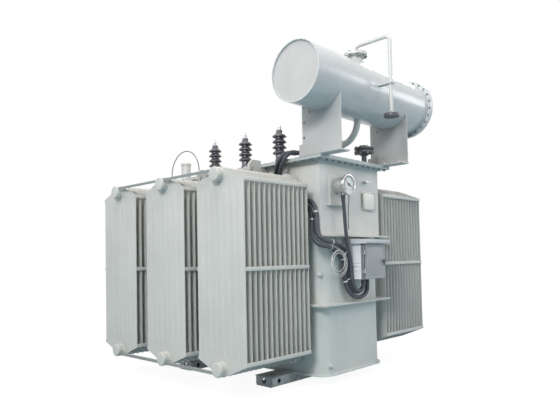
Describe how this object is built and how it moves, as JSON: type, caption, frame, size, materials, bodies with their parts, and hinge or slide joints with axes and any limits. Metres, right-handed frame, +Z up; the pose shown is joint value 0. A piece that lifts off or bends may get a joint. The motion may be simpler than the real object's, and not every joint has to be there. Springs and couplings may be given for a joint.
{
  "type": "power transformer",
  "caption": "Oil-filled power transformer with panel radiators along both sides, a conservator drum across one end and a hinged terminal box, on two skids.",
  "frame": {"origin": "middle of the four anchor holes in the skids, at ground level, under the middle of the tank", "axes": "+Z up; +X along the tank towards the end with the conservator and the terminal box; +Y across the tank, away from the side with the high-voltage bushings"},
  "size_m": [2.133, 2.23, 2.4685],
  "materials": {
    "paint": "satin light grey paint, a little dusty",
    "shade_paint": "satin grey paint, dirtier near the ground",
    "porcelain": "dark brown-grey glaze",
    "bare_steel": "plain or plated steel",
    "dark_paint": "dark grey paint",
    "box_paint": "satin grey paint on thin sheet",
    "copper": "dull copper",
    "black_plastic": "matt dark conduit"
  },
  "bodies": {
    "transformer": {"skid_front": "shade_paint", "skid_rear": "shade_paint", "base_plate": "shade_paint", "tank_lower_wall": "paint", "lower_stiffener": "paint", "upper_stiffener": "paint", "tank_upper_wall": "paint", "tank_flange": "paint", "tank_cover": "paint", "radiator_front_1": "paint", "radiator_front_2": "paint", "radiator_front_3": "paint", "radiator_back_1": "paint", "radiator_back_2": "paint", "radiator_back_3": "paint", "radiator_valves_front": "paint", "radiator_valves_back": "paint", "tie_bars_front": "shade_paint", "tie_bars_back": "shade_paint", "lifting_lugs": "paint", "hv_bushing_a": "porcelain", "hv_bushing_b": "porcelain", "hv_bushing_c": "porcelain", "hv_terminals": "bare_steel", "lv_bushings": "porcelain", "lv_terminals": "copper", "tap_changer_cap": "paint", "pressure_relief_valve": "dark_paint", "cover_wire_loop": "dark_paint", "conservator_drum": "paint", "conservator_end_plate": "paint", "conservator_cover_plate": "paint", "filler_neck": "paint", "breather_pipe": "paint", "breather_clamp": "paint", "near_leg": "paint", "far_leg": "paint", "oil_pipe": "paint", "gas_relay": "dark_paint", "terminal_box": "box_paint", "terminal_box_roof": "box_paint", "terminal_box_hinges": "bare_steel", "cable_glands": "black_plastic", "thermometer_bracket": "paint", "thermometer": "dark_paint", "rating_plate": "bare_steel", "wall_fittings": "bare_steel", "relay_conduits": "black_plastic", "gauge_conduit": "black_plastic", "capillary_coil": "bare_steel"},
    "door": {"terminal_box_door": "box_paint", "terminal_box_latch": "dark_paint"}
  },
  "joints": [
    {"name": "terminal_box_door_hinge", "type": "hinge", "parent": "transformer", "child": "door", "pos_m": [0.989, -0.089, 0.8625], "axis": [0, 0, -1], "range_deg": [0, 110]}
  ]
}
